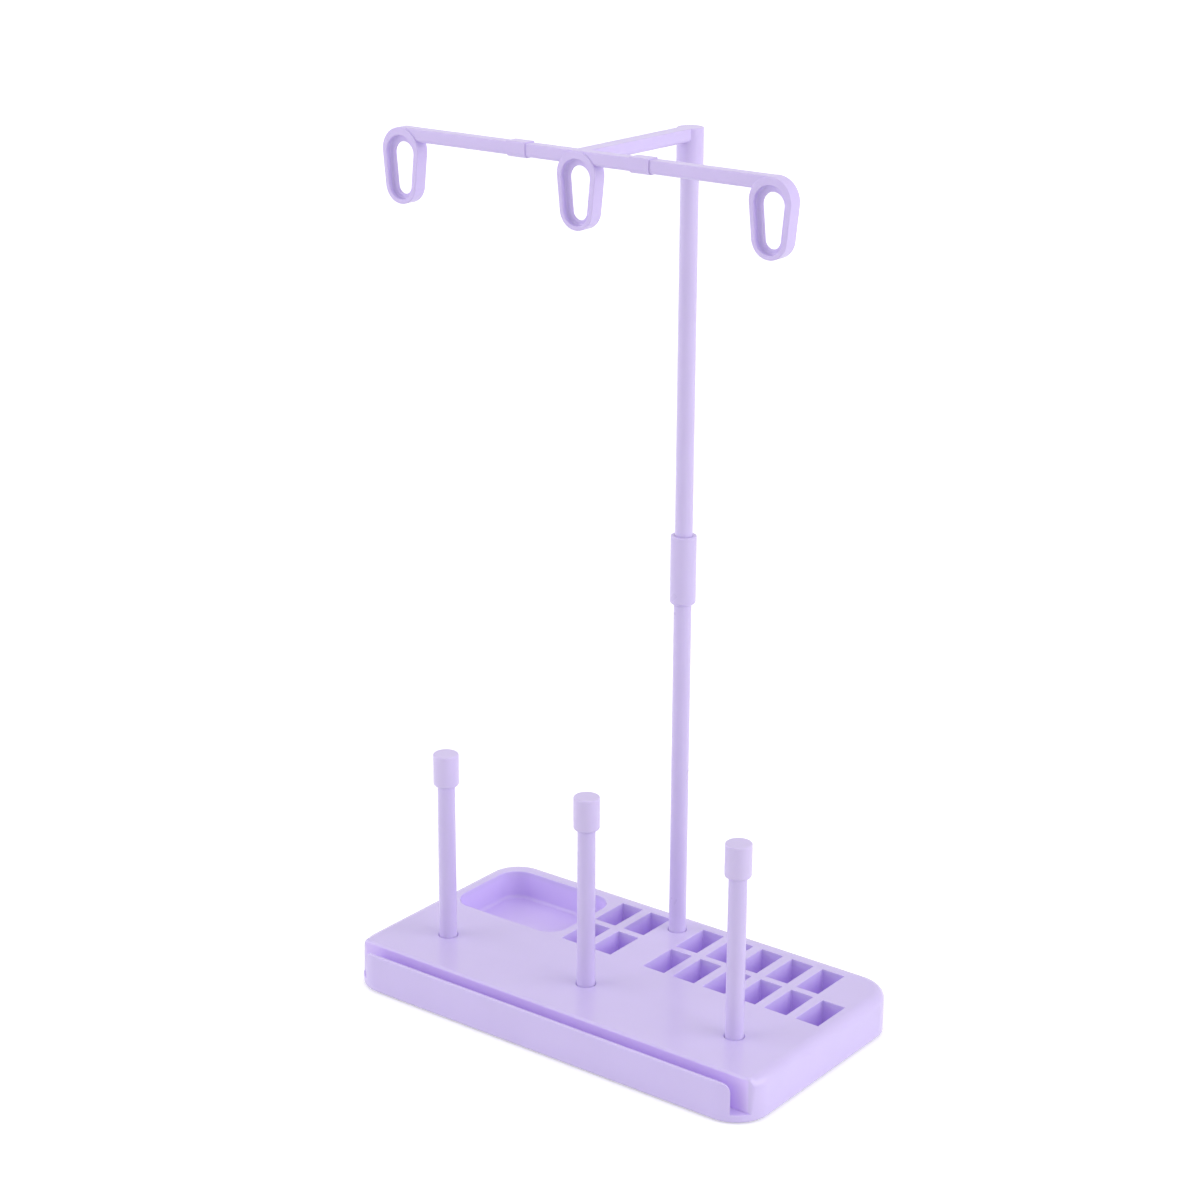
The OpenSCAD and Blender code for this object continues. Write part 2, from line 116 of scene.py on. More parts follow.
class Workpiece:
    """One mesh on the bench, shaped by Blender's own tools in millimetres."""

    def __init__(self, name: str) -> None:
        """Takes the object that was just added.

        Args:
            name: The name that the object gets.
        """
        self.thing: bpy.types.Object = bpy.context.object
        self.thing.name = name
        self.thing.data.name = name

    @classmethod
    def block(cls, name: str, low: Point, high: Point) -> "Workpiece":
        """Adds a block between two corners.

        Args:
            name: The name of the new piece.
            low: The lowest corner.
            high: The highest corner.

        Returns:
            The new piece.
        """
        clear_bench()
        middle = [(a + b) / 2 for a, b in zip(low, high)]
        bpy.ops.mesh.primitive_cube_add(size=1, location=middle, scale=[b - a for a, b in zip(low, high)])
        piece = cls(name)
        piece.settle()
        return piece

    @classmethod
    def rod(cls, name: str, radius: float, low: Point, height: float, sides: int = 96) -> "Workpiece":
        """Adds an upright rod.

        Args:
            name: The name of the new piece.
            radius: Its radius.
            low: The middle of the foot.
            height: The height of the rod.
            sides: How many sides its circle has.

        Returns:
            The new piece.
        """
        clear_bench()
        bpy.ops.mesh.primitive_cone_add(vertices=sides, radius1=radius, radius2=radius, depth=height,
                                        location=(low[0], low[1], low[2] + height / 2))
        piece = cls(name)
        piece.settle()
        return piece

    @classmethod
    def drop(cls, name: str, middle: Point, top_radius: float, bottom_radius: float, run: float,
             depth: float) -> "Workpiece":
        """Adds a plate with the outline of two circles, one above the other, and their common tangents.

        Args:
            name: The name of the new piece.
            middle: The centre of the upper circle, halfway through the plate.
            top_radius: The radius of the upper circle.
            bottom_radius: The radius of the lower circle.
            run: How far the lower centre lies below the upper one.
            depth: The thickness of the plate, front to back.

        Returns:
            The new piece.
        """
        shared = {"vertices": 96, "depth": depth, "rotation": (math.pi / 2, 0, 0)}
        clear_bench()
        bpy.ops.mesh.primitive_cylinder_add(radius=top_radius, location=middle, **shared)
        piece = cls(name)
        piece.settle()
        lower = (middle[0], middle[1], middle[2] - run)
        with piece.edit():
            bpy.ops.mesh.primitive_cylinder_add(radius=bottom_radius, location=lower, **shared)
            bpy.ops.mesh.select_all(action="SELECT")
            bpy.ops.mesh.convex_hull()
            bpy.ops.mesh.select_all(action="SELECT")
            bpy.ops.mesh.dissolve_limited(angle_limit=math.radians(0.5))
        return piece

    def settle(self) -> None:
        """Puts the object's place, turn and scale into its mesh."""
        self.hold()
        bpy.ops.object.transform_apply(location=True, rotation=True, scale=True)

    def hold(self) -> None:
        """Makes this the one selected object."""
        clear_bench()
        self.thing.select_set(True)
        bpy.context.view_layer.objects.active = self.thing

    @contextmanager
    def edit(self) -> Iterator[None]:
        """Opens the mesh for editing with nothing selected.

        Yields:
            Nothing; the mesh stays open inside the block.
        """
        self.hold()
        bpy.ops.object.mode_set(mode="EDIT")
        bpy.ops.mesh.select_mode(type="EDGE")
        bpy.ops.mesh.select_all(action="DESELECT")
        yield
        bpy.ops.object.mode_set(mode="OBJECT")

    def pick_edges(self, test: Test, bend: Bend = Bend.ANY, least_turn: float = 0.0) -> bool:
        """Selects edges of the open mesh by where their ends are.

        Args:
            test: Says whether an edge with these two ends is wanted.
            bend: Which way the faces beside the edge turn.
            least_turn: The least turn between its faces, in degrees.

        Returns:
            Whether any edge is selected.
        """
        mesh = bmesh.from_edit_mesh(self.thing.data)
        bpy.ops.mesh.select_mode(type="EDGE")
        found = False
        for edge in mesh.edges:
            wanted = test(edge.verts[0].co, edge.verts[1].co)
            if wanted:
                turn = edge.calc_face_angle_signed(0)
                wanted = abs(turn) >= math.radians(least_turn) and (
                    bend is Bend.ANY or (turn > 0) == (bend is Bend.OUTWARD))
            edge.select_set(wanted)
            found = found or wanted
        mesh.select_flush_mode()
        bmesh.update_edit_mesh(self.thing.data)
        return found

    def pick_faces(self, test: Test) -> None:
        """Selects faces of the open mesh by their middle and normal.

        Args:
            test: Says whether a face with this middle and normal is wanted.
        """
        bpy.ops.mesh.select_mode(type="FACE")
        mesh = bmesh.from_edit_mesh(self.thing.data)
        for face in mesh.faces:
            face.select_set(False)
        for face in mesh.faces:
            if test(face.calc_center_median(), face.normal):
                face.select_set(True)
        bmesh.update_edit_mesh(self.thing.data)

    def round_edges(self, radius: float, steps: int, test: Test, bend: Bend = Bend.ANY,
                    least_turn: float = 60.0) -> None:
        """Rounds the edges that a test picks.

        Args:
            radius: The radius of the rounding, or the width of a chamfer.
            steps: How many faces the rounding gets; one makes a chamfer.
            test: Says whether an edge with these two ends is wanted.
            bend: Which way the faces beside the edge turn.
            least_turn: The least turn between its faces, in degrees.
        """
        with self.edit():
            if self.pick_edges(test, bend, least_turn):
                bpy.ops.mesh.bevel(offset_type="OFFSET", offset=radius, segments=steps, profile=0.5,
                                   affect="EDGES", clamp_overlap=False, loop_slide=True)

    def step_in(self, side: Test, border: float, rise: float) -> None:
        """Leaves a border round a flat end and extrudes what is inside it.

        Args:
            side: Picks the end by its middle and normal.
            border: The width of the border.
            rise: How far up, or down where it is negative, the inside goes.
        """
        with self.edit():
            self.pick_faces(side)
            inset(border)
            pull(rise)

    def act(self, tool: "Workpiece", how: Join) -> None:
        """Adds or cuts with another solid, which is used up.

        Args:
            tool: The other solid.
            how: What it does to this one.
        """
        self.hold()
        step = self.thing.modifiers.new(how.name.lower(), "BOOLEAN")
        step.object = tool.thing
        step.operation = how.value
        step.solver = "EXACT"
        bpy.ops.object.modifier_apply(modifier=step.name)
        bpy.data.objects.remove(tool.thing, do_unlink=True)

    def cut(self, tools: list["Workpiece"]) -> None:
        """Cuts away solids that don't touch each other, which are used up."""
        self.act(tools[0].gather(tools[1:]), Join.CUT)

    def gather(self, others: list["Workpiece"]) -> "Workpiece":
        """Joins solids that don't touch into this mesh.

        Args:
            others: The other solids, which are used up.

        Returns:
            This piece.
        """
        if others:
            self.hold()
            for other in others:
                other.thing.select_set(True)
            bpy.ops.object.join()
        return self

    def mirrored(self, name: str) -> "Workpiece":
        """Copies the piece, mirrored left to right, with a mesh of its own.

        Args:
            name: The name of the copy.

        Returns:
            The copy.
        """
        self.hold()
        bpy.ops.object.duplicate(linked=False)
        copy = Workpiece(name)
        bpy.ops.transform.mirror(constraint_axis=(True, False, False), center_override=(0, 0, 0))
        copy.settle()
        with copy.edit():
            bpy.ops.mesh.select_all(action="SELECT")
            bpy.ops.mesh.normals_make_consistent(inside=False)
        return copy

    def finish(self, smooth_up_to: float = 40.0) -> bpy.types.Object:
        """Cleans the mesh, brings it to metres and gives it its shading.

        Args:
            smooth_up_to: The turn between faces, in degrees, up to which they shade as one.

        Returns:
            The finished object.
        """
        with self.edit():
            bpy.ops.mesh.select_all(action="SELECT")
            bpy.ops.mesh.remove_doubles(threshold=0.002)
            bpy.ops.mesh.dissolve_degenerate(threshold=0.001)
            bpy.ops.mesh.normals_make_consistent(inside=False)
        self.hold()
        self.thing.scale = (MM, MM, MM)
        self.settle()
        bpy.ops.object.shade_smooth_by_angle(angle=math.radians(smooth_up_to))
        weight = self.thing.modifiers.new("even_shading", "WEIGHTED_NORMAL")
        weight.keep_sharp = True
        weight.weight = 100
        bpy.ops.object.modifier_apply(modifier=weight.name)
        return self.thing


class Wire:
    """A shader socket that takes part in Python sums."""

    def __init__(self, graph: "ShaderGraph", socket: bpy.types.NodeSocket) -> None:
        """Wraps a socket."""
        self.graph = graph
        self.socket = socket

    def _sum(self, operation: str, first: "Wire | float", second: "Wire | float") -> "Wire":
        """Adds one Math node."""
        return self.graph.wire("ShaderNodeMath", {"operation": operation}, {0: first, 1: second})

    def __add__(self, other: "Wire | float") -> "Wire":
        """Adds."""
        return self._sum("ADD", self, other)

    def __radd__(self, other: float) -> "Wire":
        """Adds to a number."""
        return self._sum("ADD", other, self)

    def __sub__(self, other: "Wire | float") -> "Wire":
        """Subtracts."""
        return self._sum("SUBTRACT", self, other)

    def __rsub__(self, other: float) -> "Wire":
        """Subtracts from a number."""
        return self._sum("SUBTRACT", other, self)

    def __mul__(self, other: "Wire | float") -> "Wire":
        """Multiplies."""
        return self._sum("MULTIPLY", self, other)

    def __rmul__(self, other: float) -> "Wire":
        """Multiplies a number."""
        return self._sum("MULTIPLY", other, self)


class ShaderGraph:
    """The node tree of one material or world."""

    def __init__(self, owner: bpy.types.Material | bpy.types.World) -> None:
        """Gives a material or world an empty node tree.

        Args:
            owner: The material or world.
        """
        owner.use_nodes = True
        self.tree: bpy.types.NodeTree = owner.node_tree
        self.tree.nodes.clear()

    def node(self, kind: str, settings: dict[str, object] | None = None,
             sockets: dict[str | int, object] | None = None) -> bpy.types.Node:
        """Adds a node.

        Args:
            kind: The node's type.
            settings: Its settings, set first.
            sockets: Values or wires for its inputs, by name or number.

        Returns:
            The node.
        """
        made = self.tree.nodes.new(kind)
        for key, value in (settings or {}).items():
            setattr(made, key, value)
        for key, value in (sockets or {}).items():
            if isinstance(value, Wire):
                self.tree.links.new(value.socket, made.inputs[key])
            else:
                made.inputs[key].default_value = value
        return made

    def wire(self, kind: str, settings: dict[str, object] | None = None,
             sockets: dict[str | int, object] | None = None, output: str | int = 0) -> Wire:
        """Adds a node and returns one of its outputs."""
        return Wire(self, self.node(kind, settings, sockets).outputs[output])

    def place(self) -> Wire:
        """Gives the point on the object, in metres."""
        return self.wire("ShaderNodeTexCoord", output="Object")

    def noise(self, place: Wire, kind: Noise) -> Wire:
        """Adds a noise pattern."""
        scale, detail, roughness = kind
        return self.wire("ShaderNodeTexNoise", {"noise_dimensions": "3D"}, {
            "Vector": place, "Scale": scale, "Detail": detail, "Roughness": roughness})

    def blend(self, share: Wire | float, first: Wire | Colour, second: Wire | Colour,
              how: str = "MIX") -> Wire:
        """Blends two colours."""
        return self.wire("ShaderNodeMix", {"data_type": "RGBA", "blend_type": how},
                         {0: share, 6: first, 7: second}, output=2)

    def ramp(self, value: Wire, start: float, end: float, low: float = 0.0, high: float = 1.0) -> Wire:
        """Adds a smooth ramp."""
        return self.wire("ShaderNodeMapRange", {"interpolation_type": "SMOOTHSTEP"}, {
            "Value": value, "From Min": start, "From Max": end, "To Min": low, "To Max": high})

    def relief(self, height: Wire, strength: float, depth: float) -> Wire:
        """Turns heights into a normal."""
        return self.wire("ShaderNodeBump", {}, {"Strength": strength, "Distance": depth, "Height": height})

    def watched(self) -> Wire:
        """Is 1 on the camera's own path, also by way of a gloss or a glass, and 0 for other light.

        Returns:
            The sum of the three kinds of ray.
        """
        path = self.node("ShaderNodeLightPath")
        kinds = [Wire(self, path.outputs[f"Is {kind} Ray"]) for kind in ("Camera", "Glossy", "Transmission")]
        return kinds[0] + kinds[1] + kinds[2]

    def close(self, surface: Wire, kind: str = "ShaderNodeOutputMaterial") -> None:
        """Adds the output node."""
        self.node(kind, {}, {"Surface": surface})


@dataclass(frozen=True)
class PaintedGlowZone:
    """A box, in millimetres, inside which the material gets a painted glow: emission that stands in for light
    bounced into the pockets and passed through their thin walls.
    """

    low: Point
    high: Point
    fade: Point
    colour: Colour

    def glow(self, graph: ShaderGraph, place: Wire) -> Wire:
        """Gives the box's painted glow at a point, which fades out towards its sides.

        Args:
            graph: The node tree of the material.
            place: The point, in metres.

        Returns:
            The painted glow's colour.
        """
        parts = graph.node("ShaderNodeSeparateXYZ", {}, {0: place})
        share: Wire | None = None
        for axis in range(3):
            at = Wire(graph, parts.outputs[axis])
            for edge, step in ((self.low[axis], self.fade[axis]), (self.high[axis], -self.fade[axis])):
                ramp = graph.ramp(at, edge * MM, (edge + step) * MM)
                share = ramp if share is None else share * ramp
        return graph.blend(share, BLACK, self.colour)


@dataclass(frozen=True)
class MouldedPlastic:
    """Lavender plastic as it comes from a polished mould."""

    name: str
    colour: Colour
    roughness: float = 0.3
    roughness_spread: float = 0.03
    shade_spread: float = 0.03
    shade_contrast: float = 1.6
    ripple: float = 0.12
    grain: float = 0.01
    relief_strength: float = 0.35
    relief_depth: float = 0.00012
    glow_through: float = 0.15
    glow_reach: Point = (0.8, 0.6, 1.0)
    glow_scale: float = 0.0012
    refraction: float = 1.49
    drift: Noise = (26.0, 3.0, 0.55)
    bloom: Noise = (90.0, 2.0, 0.5)
    swell: Noise = (90.0, 1.0, 0.4)
    peel: Noise = (1400.0, 2.0, 0.5)
    # boxes of painted glow: emission that lightens the shade inside them
    painted_glow_zones: tuple[PaintedGlowZone, ...] = ()

    def material(self) -> bpy.types.Material:
        """Builds the material.

        Returns:
            The new material.
        """
        made = bpy.data.materials.new(self.name)
        graph = ShaderGraph(made)
        place = graph.place()
        drift, bloom, swell, peel = (graph.noise(place, kind)
                                     for kind in (self.drift, self.bloom, self.swell, self.peel))
        dark = tuple(c * (1 - self.shade_spread) for c in self.colour[:3]) + (1,)
        light = tuple(min(c * (1 + self.shade_spread), 1) for c in self.colour[:3]) + (1,)
        looks = {
            "Base Color": graph.blend((drift - 0.5) * self.shade_contrast + 0.5, dark, light),
            "Roughness": (bloom - 0.5) * self.roughness_spread + self.roughness,
            "Normal": graph.relief(swell * self.ripple + peel * self.grain, self.relief_strength,
                                   self.relief_depth),
            "IOR": self.refraction,
            "Subsurface Weight": self.glow_through,
            "Subsurface Radius": self.glow_reach,
            "Subsurface Scale": self.glow_scale,
            # the emission carries the painted glow of the zones, which lightens the shaded pockets
            "Emission Strength": 1.0 if self.painted_glow_zones else 0.0,
        }
        for zone in self.painted_glow_zones:
            painted_light = zone.glow(graph, place)
            before = looks.get("Emission Color")
            looks["Emission Color"] = graph.blend(1.0, before, painted_light, "ADD") if before else painted_light
        graph.close(graph.wire("ShaderNodeBsdfPrincipled", {}, looks))
        return made


@dataclass(frozen=True)
class PadRubber:
    """Matte, milky rubber of the anti-slip pads."""

    name: str
    colour: Colour
    shade: float = 0.88
    roughness: float = 0.55
    roughness_spread: float = 0.2
    relief_strength: float = 0.4
    relief_depth: float = 0.0001
    refraction: float = 1.45
    dust: Noise = (300.0, 5.0, 0.5)
    pores: Noise = (2500.0, 2.0, 0.5)

    def material(self) -> bpy.types.Material:
        """Builds the material.

        Returns:
            The new material.
        """
        made = bpy.data.materials.new(self.name)
        graph = ShaderGraph(made)
        place = graph.place()
        dust = graph.noise(place, self.dust)
        pores = graph.noise(place, self.pores)
        dark = tuple(c * self.shade for c in self.colour[:3]) + (1,)
        graph.close(graph.wire("ShaderNodeBsdfPrincipled", {}, {
            "Base Color": graph.blend(dust, dark, self.colour),
            "Roughness": dust * self.roughness_spread + self.roughness,
            "Normal": graph.relief(pores, self.relief_strength, self.relief_depth),
            "IOR": self.refraction}))
        return made


@dataclass
class Dresser:
    """Gives finished pieces their material and body, and hides the CAD nodes that they stand for."""

    made: dict[str, bpy.types.Material] = field(default_factory=dict)

    def dress(self, thing: bpy.types.Object, finish: MouldedPlastic | PadRubber, slot: str, body: str,
              node: str) -> None:
        """Dresses one piece and hands it to the frame.

        Args:
            thing: The finished object.
            finish: The finish that it gets.
            slot: The record's material slot; not used.
            body: The body that it rides on.
            node: The CAD node that it stands for.
        """
        if finish.name not in self.made:
            self.made[finish.name] = finish.material()
        thing.data.materials.clear()
        thing.data.materials.append(self.made[finish.name])
        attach(thing, body)
        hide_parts(node)
        log.info("%s: %d faces", thing.name, len(thing.data.polygons))


# Painted glow: emission that lightens the shade in the bobbin cells, the tray and the front slot towards a
# deeper violet, standing in for bounced light.
POCKET_PAINTED_GLOW = PaintedGlowZone((-107.5, -15.0, 1.0), (107.5, 54.0, 21.0), (1.0, 1.0, 3.5), (0.028, 0.008, 0.055, 1))
SLOT_PAINTED_GLOW = PaintedGlowZone((-113.0, -59.8, 4.0), (113.0, -54.0, 21.0), (5.0, 0.2, 1.2), (0.07, 0.03, 0.11, 1))
BASE_PLASTIC = MouldedPlastic("base_lavender", (0.66, 0.565, 0.905, 1), roughness=0.2,
                              painted_glow_zones=(POCKET_PAINTED_GLOW, SLOT_PAINTED_GLOW))
PIN_PLASTIC = MouldedPlastic("pin_lavender", (0.64, 0.55, 0.86, 1))
CAP_PLASTIC = MouldedPlastic("cap_lavender", (0.665, 0.575, 0.865, 1), roughness=0.36)
POLE_PLASTIC = MouldedPlastic("pole_lavender", (0.645, 0.555, 0.862, 1), roughness=0.28)
BAR_PLASTIC = MouldedPlastic("bar_lavender", (0.65, 0.545, 0.89, 1))
PAD_RUBBER = PadRubber("pad_rubber", (0.72, 0.70, 0.76, 1))


@dataclass
class Layout:
    """Heights and centre lines that the sub-assemblies share, in millimetres."""

    table_gap: float = 0.8
    base_length: float = 228.0
    base_depth: float = 123.7
    base_height: float = 20.5
    pin_spacing: float = 82.7
    pins_from_front: float = 36.25
    pole_from_back: float = 15.65
    socket_depth: float = 15.0
    rod_gap: float = 0.05

    def __post_init__(self) -> None:
        """Works out the heights and centre lines."""
        self.half = self.base_length / 2
        self.front = -self.base_depth / 2
        self.back = self.base_depth / 2
        self.deck = self.table_gap + self.base_height
        self.socket_floor = self.deck - self.socket_depth
        self.pins_y = self.front + self.pins_from_front
        self.pole_y = self.back - self.pole_from_back

    def pin_places(self) -> list[tuple[str, float]]:
        """Names the three pins and gives their x."""
        return [("left", -self.pin_spacing), ("centre", 0.0), ("right", self.pin_spacing)]


@dataclass
class MouldedBase:
    """The base: deck, bobbin cells, tray, front slot with its lip, sockets and ribbed underside."""

    layout: Layout
    corner: float = 17.2
    corner_steps: int = 21
    top_edge: float = 5.0
    top_edge_steps: int = 9
    bottom_edge: float = 1.0
    wall: float = 2.2
    deck_thickness: float = 2.4
    pocket_wall: float = 1.5
    rib: float = 1.6
    rib_setback: float = 2.5
    rib_places: tuple[float, ...] = (-1.25, -0.75, -0.25, 0.25, 0.75, 1.25)  # in pin spacings
    cell: Point = (12.0, 22.4, 14.5)
    cell_corner: float = 0.35
    cell_floor_edge: float = 0.5
    cell_steps: int = 3
    cell_rim: float = 0.4
    cell_gap: float = 4.95
    row_gap: float = 3.8
    cells_from_back: float = 8.55
    left_start: float = 8.9
    right_start: float = 10.2
    left_columns: int = 2
    front_columns: int = 6
    back_columns: int = 5
    tray_width: float = 48.8
    tray_depth: float = 14.5
    tray_corner: float = 11.0
    tray_corner_steps: int = 20
    tray_floor_edge: float = 2.0
    tray_floor_steps: int = 8
    tray_rim: float = 0.6
    tray_from_end: float = 7.8
    tray_from_back: float = 8.95
    tray_gap: float = 4.3
    slot_width: float = 5.7
    slot_floor: float = 3.8
    slot_floor_thickness: float = 1.8
    slot_edge: float = 1.4
    slot_end: float = 4.0
    slot_end_turn: float = 62.2  # degrees between the slot's rear wall and the base's round corner
    slot_blend: float = 2.2  # how far behind the slot the deck's edge has its full radius
    fold_gap: float = 0.1  # what the deck's rounding leaves free, so that it can't fold over
    fold_slope: float = 0.6  # how much further in it may reach for each millimetre behind the slot
    lip: float = 1.85
    lip_drop: float = 2.0
    lip_corner: float = 4.5
    lip_edge: float = 0.55
    lip_edge_end: float = 2.6
    pin_bore: float = 4.3
    pole_bore: float = 4.15
    socket_wall: float = 2.4
    mouth: float = 0.6
    pad_seat: float = 7.15
    pad_recess: float = 0.7
    pad_from_end: float = 13.0
    pad_from_edge: float = 17.0
    through: float = 30.0  # a height that passes through the whole base

    def __post_init__(self) -> None:
        """Works out the lines that the methods share."""
        flat = self.layout
        self.floor = flat.table_gap
        self.lip_back = flat.front + self.lip
        self.slot_back = self.lip_back + self.slot_width
        self.slot_low = self.floor + self.slot_floor
        self.lip_top = flat.deck - self.lip_drop
        self.hollow_front = self.slot_back + self.pocket_wall
        self.pitch = self.cell[0] + self.cell_gap
        self.back_row = flat.back - self.cells_from_back - self.cell[1]
        self.front_row = self.back_row - self.row_gap - self.cell[1]
        self.left_block = -self.left_start - self.left_columns * self.pitch + self.cell_gap
        self.tray_low = (-flat.half + self.tray_from_end, flat.back - self.tray_from_back - self.tray_width,
                         flat.deck - self.tray_depth)
        self.tray_high = (self.left_block - self.tray_gap, flat.back - self.tray_from_back, flat.deck)
        self.lip_half = flat.half - self.corner + math.sqrt(self.corner**2 - (self.corner - self.lip)**2)

    def slab(self, name: str, low: Point, high: Point, corner: float, steps: int) -> Workpiece:
        """Makes a block with round upright corners.

        Args:
            name: The name of the new piece.
            low: The lowest corner.
            high: The highest corner.
            corner: The radius of its upright corners.
            steps: How many faces such a corner gets.

        Returns:
            The new piece.
        """
        piece = Workpiece.block(name, low, high)
        piece.round_edges(corner, steps, upright)
        return piece

    def cell_places(self) -> list[tuple[float, float]]:
        """Finds the bobbin cells.

        Returns:
            The near left corner of every cell.
        """
        places = [(self.left_block + i * self.pitch, y) for i in range(self.left_columns)
                  for y in (self.front_row, self.back_row)]
        places += [(self.right_start + i * self.pitch, self.front_row) for i in range(self.front_columns)]
        places += [(self.right_start + i * self.pitch, self.back_row) for i in range(self.back_columns)]
        return places

    def socket_places(self) -> list[tuple[float, float, float]]:
        """Finds the sockets of the pins and the pole.

        Returns:
            The radius of each bore and the x and y of its middle.
        """
        flat = self.layout
        pins = [(self.pin_bore, x, flat.pins_y) for _, x in flat.pin_places()]
        return [*pins, (self.pole_bore, 0, flat.pole_y)]

    def pad_places(self) -> list[tuple[str, float, float]]:
        """Finds the four pads.

        Returns:
            Each pad's name and the x and y of its middle.
        """
        x = self.layout.half - self.pad_from_end
        y = self.layout.back - self.pad_from_edge
        return [("front_left", -x, -y), ("front_right", x, -y), ("back_left", -x, y), ("back_right", x, y)]

    def outer_body(self) -> Workpiece:
        """Raises the deck and the lip from the floor slab and rounds their edges.

        Returns:
            The solid outer body.
        """
        flat = self.layout
        body = self.slab("moulded_base", (-flat.half, flat.front, self.floor),
                         (flat.half, flat.back, self.slot_low), self.corner, self.corner_steps)
        body.round_edges(self.bottom_edge, 3, level(self.floor))

        def on_floor(c: Vector, n: Vector) -> bool:
            """Picks the slab's upper faces."""
            return n.z > 0.9 and near(c.z, self.slot_low)

        with body.edit():
            for y in (self.lip_back, self.slot_back):
                body.pick_faces(on_floor)
                bpy.ops.mesh.bisect(plane_co=(0, y, 0), plane_no=(0, 1, 0), threshold=0.001)
            body.pick_faces(lambda c, n: on_floor(c, n) and c.y < self.lip_back)
            pull(self.lip_top - self.slot_low)
            body.pick_faces(lambda c, n: on_floor(c, n) and c.y > self.slot_back)
            pull(flat.deck - self.slot_low)

        def deck_side(a: Vector, b: Vector) -> bool:
            """Picks upright edges that end at the deck."""
            return upright(a, b) and max(a.z, b.z) > self.lip_top + 0.5

        with body.edit():
            body.pick_edges(lambda a, b: deck_side(a, b)
                            and self.slot_back + 0.1 < a.y < self.slot_back + self.slot_end / 2)
            bpy.ops.mesh.dissolve_edges(use_verts=True)
        body.round_edges(
            self.slot_end * math.tan(math.radians(self.slot_end_turn) / 2), 8,
            lambda a, b: deck_side(a, b) and near(a.y, self.slot_back) and min(a.z, b.z) < self.lip_top,
            least_turn=0)
        self.round_deck(body)
        self.shape_lip(body)
        return body

    def round_deck(self, body: Workpiece) -> None:
        """Raises the deck's face in steps, each further in, so that its edge is round all the way.

        Args:
            body: The outer body, still sharp round its deck.
        """
        deck = self.layout.deck
        with body.edit():
            body.pick_faces(lambda c, n: n.z > 0.9 and near(c.z, deck))
            mesh = bmesh.from_edit_mesh(body.thing.data)
            face = next(f for f in mesh.faces if f.select)
            ring = [v.co.copy() for v in face.verts]
            radii = [self.deck_radius(p) for p in ring]
            reaches = [min(r, self.deck_reach(p)) for r, p in zip(radii, ring)]
            inward = []
            for i, p in enumerate(ring):
                along = (p - ring[i - 1]).normalized() + (ring[(i + 1) % len(ring)] - p).normalized()
                inward.append(Vector((-along.y, along.x, 0)).normalized())
            for vertex, r in zip(face.verts, radii):
                vertex.co.z = deck - r
            bmesh.update_edit_mesh(body.thing.data)
            for k in range(1, self.top_edge_steps + 1):
                pull(0)
                mesh = bmesh.from_edit_mesh(body.thing.data)
                face = next(f for f in mesh.faces if f.select)
                angle = math.pi / 2 * k / self.top_edge_steps
                for vertex, p, n, r, reach in zip(face.verts, ring, inward, radii, reaches):
                    vertex.co = p + n * reach * (1 - math.cos(angle))
                    vertex.co.z = deck - r * (1 - math.sin(angle))
                bmesh.update_edit_mesh(body.thing.data)

    def deck_radius(self, p: Vector) -> float:
        """Gives the height of the rounding of the deck's edge, which is small along the slot.

        Args:
            p: A point of the deck's outline.

        Returns:
            The radius there.
        """
        along = min(max((p.y - self.slot_back) / self.slot_blend, 0.0), 1.0)
        blend = along * along * (3 - 2 * along)
        return self.slot_edge + (self.top_edge - self.fold_gap - self.slot_edge) * blend

    def deck_reach(self, p: Vector) -> float:
        """Gives how far in the rounding may reach before it folds over at the slot's round ends."""
        behind = max(p.y - self.slot_back - self.slot_end / 2, 0)
        return self.slot_end - self.fold_gap + self.fold_slope * behind

    def shape_lip(self, body: Workpiece) -> None:
        """Rounds the lip's two upper corners and softens its top edges.

        Args:
            body: The outer body with its lip still square.
        """
        start = self.lip_half - self.lip_corner
        low = self.lip_top - self.lip_corner
        behind = self.lip_back + 0.01
        with body.edit():
            for turn in range(0, 90, 10):
                x = start + self.lip_corner * math.sin(math.radians(turn))
                for side in (-1, 1):
                    body.pick_faces(lambda c, n: c.y < behind and c.z > self.slot_low + 0.1)
                    bpy.ops.mesh.bisect(plane_co=(side * x, 0, 0), plane_no=(1, 0, 0), threshold=0.001)
            mesh = bmesh.from_edit_mesh(body.thing.data)
            for vertex in mesh.verts:
                out = min(abs(vertex.co.x) - start, self.lip_corner)
                if vertex.co.y < behind and near(vertex.co.z, self.lip_top) and out > 0:
                    vertex.co.z = low + math.sqrt(self.lip_corner**2 - out**2)
            bmesh.update_edit_mesh(body.thing.data)
        reach = self.lip_half - self.lip_edge_end

        def along_lip(a: Vector, b: Vector) -> bool:
            """Picks edges round the lip's top, but for those across it."""
            return (max(a.y, b.y) < behind and max(abs(a.x), abs(b.x)) < reach and min(a.z, b.z) > low
                    and (not near(a.y, b.y) or abs(a.x - b.x) > 0.05))

        body.round_edges(self.lip_edge, 3, along_lip, bend=Bend.OUTWARD, least_turn=50)

